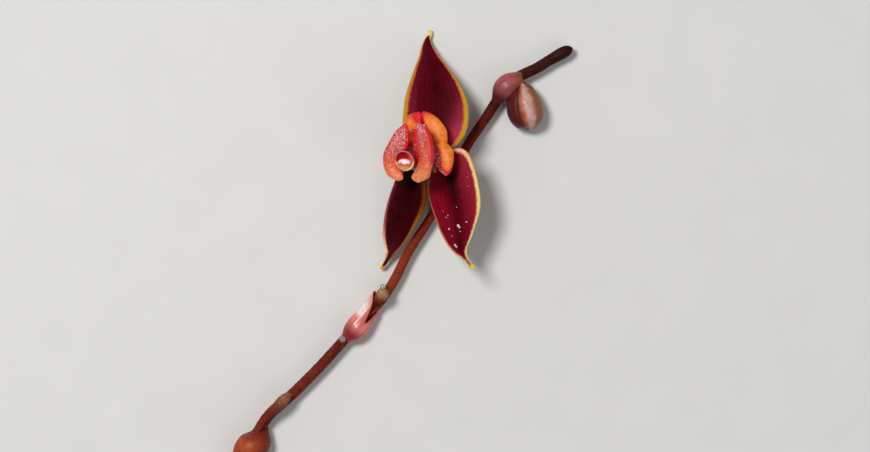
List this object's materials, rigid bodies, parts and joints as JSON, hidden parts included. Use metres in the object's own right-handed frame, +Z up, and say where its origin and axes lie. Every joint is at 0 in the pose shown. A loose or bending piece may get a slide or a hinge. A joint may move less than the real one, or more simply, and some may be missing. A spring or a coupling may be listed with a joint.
{
  "type": "orchid flowering stem",
  "caption": "Zigzag flowering stem of a very small orchid, lying flat: funnel-shaped sheaths at its nodes, spent stalks, an open flower with a hooded column, and a closed bud.",
  "frame": {"origin": "middle of the stem's box in plan, at the height of the surface it lies on", "axes": "+Z up from the surface, +Y along the flower's upper sepal and up the stem, +X to the right seen from above"},
  "size_m": [0.0178, 0.0234, 0.0051],
  "materials": {
    "stem": "matt, finely scurfy skin",
    "bract": "thin, half translucent sheath with a soft gloss",
    "scar": "dry pale tissue",
    "ovary": "satin skin with lengthwise ribs",
    "bud": "satin skin, closed sepals",
    "sepal": "velvety, glossy where wet, yellow margin",
    "petal": "finely papillose, satin",
    "lip": "short soft hairs over coral skin",
    "column": "satin",
    "anther_cap": "glossy",
    "pollinia": "waxy",
    "dew": "clear droplets of water"
  },
  "bodies": {
    "root": {"rachis": "stem", "bract_1": "bract", "bract_2": "bract", "bract_3": "bract", "bract_4": "bract", "bract_5": "bract", "spent_pedicel_1": "scar", "spent_pedicel_2": "scar", "flower_pedicel": "ovary", "ovary": "ovary", "dorsal_sepal": "sepal", "lateral_sepal_left": "sepal", "lateral_sepal_right": "sepal", "petal_left": "petal", "petal_right": "petal", "lip": "lip", "column": "column", "anther_cap": "anther_cap", "pollinarium": "pollinia", "bud_pedicel": "ovary", "bud": "bud"}
  },
  "joints": []
}
